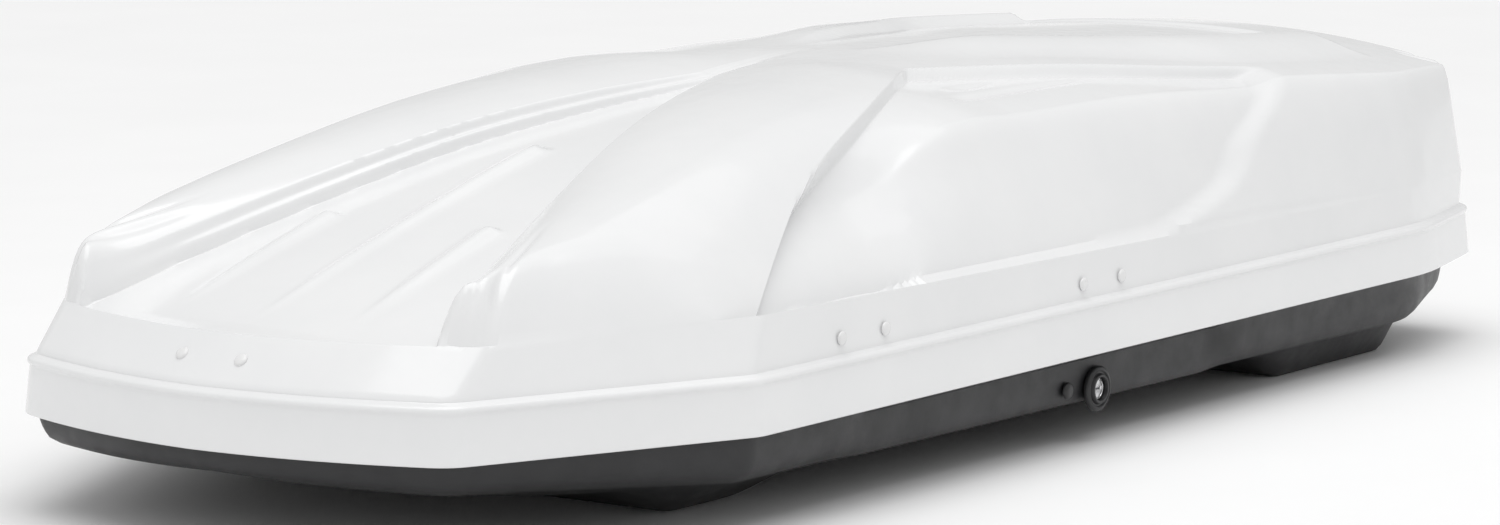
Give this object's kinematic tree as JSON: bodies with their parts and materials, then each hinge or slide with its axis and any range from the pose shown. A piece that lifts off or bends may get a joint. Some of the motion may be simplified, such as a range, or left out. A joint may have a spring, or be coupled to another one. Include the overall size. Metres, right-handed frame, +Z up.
{
  "type": "roof cargo box",
  "caption": "Low, tapered hard-shell roof cargo box: glossy white domed lid hinged over a black base, with a key lock, gas struts and crossbar clamps.",
  "frame": {"origin": "centre of the bounding box at its lowest face, under the pods", "axes": "+X to the pointed nose (forwards on the car), +Y to the lock side, +Z up"},
  "size_m": [1.915, 0.8, 0.3939],
  "materials": {
    "white_shell": "glossy white ABS shell",
    "white_rivet": "glossy white",
    "black_shell": "fine-grained black ABS shell",
    "seal_rubber": "soft black",
    "black_fitting": "satin moulded black",
    "black_metal": "black enamel",
    "bright_steel": "plated",
    "zinc_steel": "zinc plated"
  },
  "bodies": {
    "base": {"base_shell": "black_shell", "rim_seal": "seal_rubber", "hinge_front_base_leaf": "zinc_steel", "hinge_middle_base_leaf": "zinc_steel", "hinge_rear_base_leaf": "zinc_steel", "hinge_front_pin": "zinc_steel", "hinge_middle_pin": "zinc_steel", "hinge_rear_pin": "zinc_steel", "lock_housing": "black_fitting", "mechanism_cap": "black_fitting", "latch_guide_1": "black_fitting", "latch_guide_2": "black_fitting", "latch_guide_3": "black_fitting", "strut_front_base_bracket": "zinc_steel", "strut_rear_base_bracket": "zinc_steel", "floor_rail_left": "zinc_steel", "floor_rail_right": "zinc_steel", "u_bolt_front_left": "zinc_steel", "u_bolt_front_right": "zinc_steel", "u_bolt_rear_left": "zinc_steel", "u_bolt_rear_right": "zinc_steel", "clamp_plate_front_left": "black_metal", "clamp_plate_front_right": "black_metal", "clamp_plate_rear_left": "black_metal", "clamp_plate_rear_right": "black_metal"},
    "lid": {"lid_shell": "white_shell", "hinge_front_lid_leaf": "zinc_steel", "hinge_middle_lid_leaf": "zinc_steel", "hinge_rear_lid_leaf": "zinc_steel", "striker_front": "zinc_steel", "striker_rear": "zinc_steel", "side_rivet_1": "white_rivet", "side_rivet_2": "white_rivet", "side_rivet_3": "white_rivet", "side_rivet_4": "white_rivet", "nose_rivet_1": "white_rivet", "nose_rivet_2": "white_rivet", "strut_front_lid_bracket": "zinc_steel", "strut_rear_lid_bracket": "zinc_steel", "lid_stiffener_front": "zinc_steel", "lid_stiffener_rear": "zinc_steel"},
    "latch_bar": {"latch_bar": "zinc_steel"},
    "lock_barrel": {"lock_barrel": "bright_steel"},
    "strut_front_cylinder": {"strut_front_cylinder": "black_metal"},
    "strut_front_rod": {"strut_front_rod": "bright_steel"},
    "strut_rear_cylinder": {"strut_rear_cylinder": "black_metal"},
    "strut_rear_rod": {"strut_rear_rod": "bright_steel"},
    "clamp_knob_front_left_1": {"clamp_knob_front_left_1": "black_fitting"},
    "clamp_knob_front_left_2": {"clamp_knob_front_left_2": "black_fitting"},
    "clamp_knob_front_right_1": {"clamp_knob_front_right_1": "black_fitting"},
    "clamp_knob_front_right_2": {"clamp_knob_front_right_2": "black_fitting"},
    "clamp_knob_rear_left_1": {"clamp_knob_rear_left_1": "black_fitting"},
    "clamp_knob_rear_left_2": {"clamp_knob_rear_left_2": "black_fitting"},
    "clamp_knob_rear_right_1": {"clamp_knob_rear_right_1": "black_fitting"},
    "clamp_knob_rear_right_2": {"clamp_knob_rear_right_2": "black_fitting"}
  },
  "joints": [
    {"name": "lid_hinge", "type": "hinge", "parent": "base", "child": "lid", "pos_m": [0, -0.3945, 0.09], "axis": [1, 0, 0], "range_deg": [0, 45]},
    {"name": "lock_turn", "type": "hinge", "parent": "base", "child": "lock_barrel", "pos_m": [-0.036, 0.38, 0.057], "axis": [0, 1, 0], "range_deg": [0, 90.2]},
    {"name": "latch_slide", "type": "slide", "parent": "base", "child": "latch_bar", "axis": [1, 0, 0], "range_m": [0, 0.018]},
    {"name": "strut_front_swing", "type": "hinge", "parent": "base", "child": "strut_front_cylinder", "pos_m": [0.36, -0.262, 0.066], "axis": [1, 0, 0], "range_deg": [0, 48.1]},
    {"name": "strut_front_slide", "type": "slide", "parent": "strut_front_cylinder", "child": "strut_front_rod", "axis": [0, 0.7214, 0.6925], "range_m": [0, 0.101]},
    {"name": "strut_rear_swing", "type": "hinge", "parent": "base", "child": "strut_rear_cylinder", "pos_m": [-0.65, -0.262, 0.066], "axis": [1, 0, 0], "range_deg": [0, 48.1]},
    {"name": "strut_rear_slide", "type": "slide", "parent": "strut_rear_cylinder", "child": "strut_rear_rod", "axis": [0, 0.7214, 0.6925], "range_m": [0, 0.101]},
    {"name": "knob_front_left_1_turn", "type": "hinge", "parent": "base", "child": "clamp_knob_front_left_1", "pos_m": [0.176, 0.19, 0.055], "axis": [0, 0, 1], "continuous": true},
    {"name": "knob_front_left_2_turn", "type": "hinge", "parent": "base", "child": "clamp_knob_front_left_2", "pos_m": [0.264, 0.19, 0.055], "axis": [0, 0, 1], "continuous": true},
    {"name": "knob_front_right_1_turn", "type": "hinge", "parent": "base", "child": "clamp_knob_front_right_1", "pos_m": [0.176, -0.19, 0.055], "axis": [0, 0, 1], "continuous": true},
    {"name": "knob_front_right_2_turn", "type": "hinge", "parent": "base", "child": "clamp_knob_front_right_2", "pos_m": [0.264, -0.19, 0.055], "axis": [0, 0, 1], "continuous": true},
    {"name": "knob_rear_left_1_turn", "type": "hinge", "parent": "base", "child": "clamp_knob_rear_left_1", "pos_m": [-0.324, 0.19, 0.055], "axis": [0, 0, 1], "continuous": true},
    {"name": "knob_rear_left_2_turn", "type": "hinge", "parent": "base", "child": "clamp_knob_rear_left_2", "pos_m": [-0.236, 0.19, 0.055], "axis": [0, 0, 1], "continuous": true},
    {"name": "knob_rear_right_1_turn", "type": "hinge", "parent": "base", "child": "clamp_knob_rear_right_1", "pos_m": [-0.324, -0.19, 0.055], "axis": [0, 0, 1], "continuous": true},
    {"name": "knob_rear_right_2_turn", "type": "hinge", "parent": "base", "child": "clamp_knob_rear_right_2", "pos_m": [-0.236, -0.19, 0.055], "axis": [0, 0, 1], "continuous": true}
  ],
  "couplings": [
    {"joint": "lock_turn", "follows": "latch_slide", "rad_per_m": 87.266},
    {"joint": "strut_front_swing", "follows": "lid_hinge", "ratio": 1.0681},
    {"joint": "strut_front_slide", "follows": "lid_hinge", "m_per_rad": 0.12846},
    {"joint": "strut_rear_swing", "follows": "lid_hinge", "ratio": 1.0681},
    {"joint": "strut_rear_slide", "follows": "lid_hinge", "m_per_rad": 0.12846}
  ]
}
